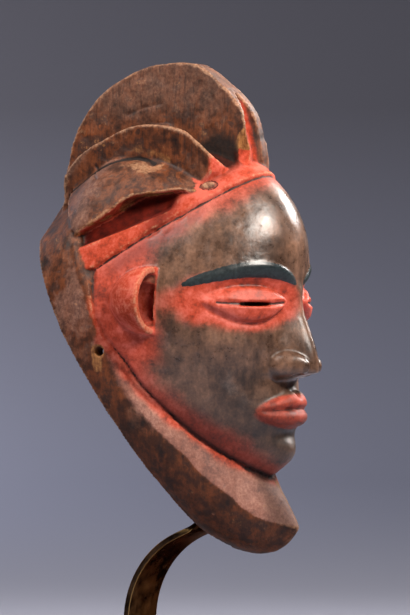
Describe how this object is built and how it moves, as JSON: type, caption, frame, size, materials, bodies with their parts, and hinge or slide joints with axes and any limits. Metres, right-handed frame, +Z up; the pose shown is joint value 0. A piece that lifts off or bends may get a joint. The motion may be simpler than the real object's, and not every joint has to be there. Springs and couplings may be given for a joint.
{
  "type": "mask",
  "caption": "Carved and painted wooden face mask with a tiered crest coiffure, hollow at the back, resting on a curved flat-bar metal stand",
  "frame": {"origin": "middle of the underside of the stand's foot", "axes": "+Z up; the mask looks along -Y; its own right side is at -X"},
  "size_m": [0.174, 0.1795, 0.3995],
  "materials": {
    "carved_wood": "hand-carved, with worn red and dark paint and a rubbed brown patina",
    "stand_metal": "dark brown patina, waxed"
  },
  "bodies": {
    "root": {"mask": "carved_wood", "stand_strap": "stand_metal", "stand_foot": "stand_metal"}
  },
  "joints": []
}
